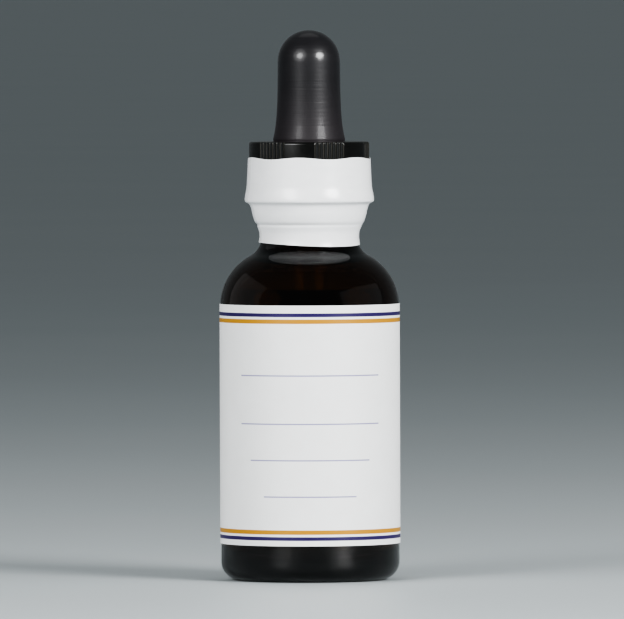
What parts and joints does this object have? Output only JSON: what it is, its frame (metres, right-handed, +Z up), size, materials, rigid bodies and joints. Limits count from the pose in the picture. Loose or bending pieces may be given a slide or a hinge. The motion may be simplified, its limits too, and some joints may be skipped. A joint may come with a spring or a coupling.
{
  "type": "dropper bottle",
  "caption": "Round-shouldered amber glass bottle of liquid extract with a striped wrap label, white shrink seal and a black screw-on dropper with rubber bulb and glass pipette.",
  "frame": {"origin": "centre of the underside, on the bottle's axis", "axes": "+Z up along the bottle's axis; the label's front faces -Y and its open seam faces +Y"},
  "size_m": [0.0336, 0.0334, 0.1016],
  "materials": {
    "bottle": "fire-polished blown amber glass",
    "extract": "dark brown liquid",
    "label": "semi-gloss coated paper with printed stripes",
    "band": "white shrink film, satin",
    "cap": "glossy injection-moulded black plastic",
    "bulb": "satin moulded black rubber",
    "pipette": "drawn clear glass tube"
  },
  "bodies": {
    "filled_bottle": {"bottle": "bottle", "extract": "extract", "label": "label", "band": "band"},
    "dropper": {"bulb": "bulb", "pipette": "pipette"},
    "closure": {"cap": "cap"}
  },
  "joints": [
    {"name": "dropper_lift", "type": "slide", "parent": "filled_bottle", "child": "dropper", "axis": [0, 0, 1], "range_m": [0, 0.004]},
    {"name": "cap_turn", "type": "hinge", "parent": "dropper", "child": "closure", "pos_m": [0, 0, 0], "axis": [0, 0, 1], "range_deg": [0, 450]}
  ],
  "couplings": [
    {"joint": "dropper_lift", "follows": "cap_turn", "m_per_rad": 0.00050532}
  ]
}
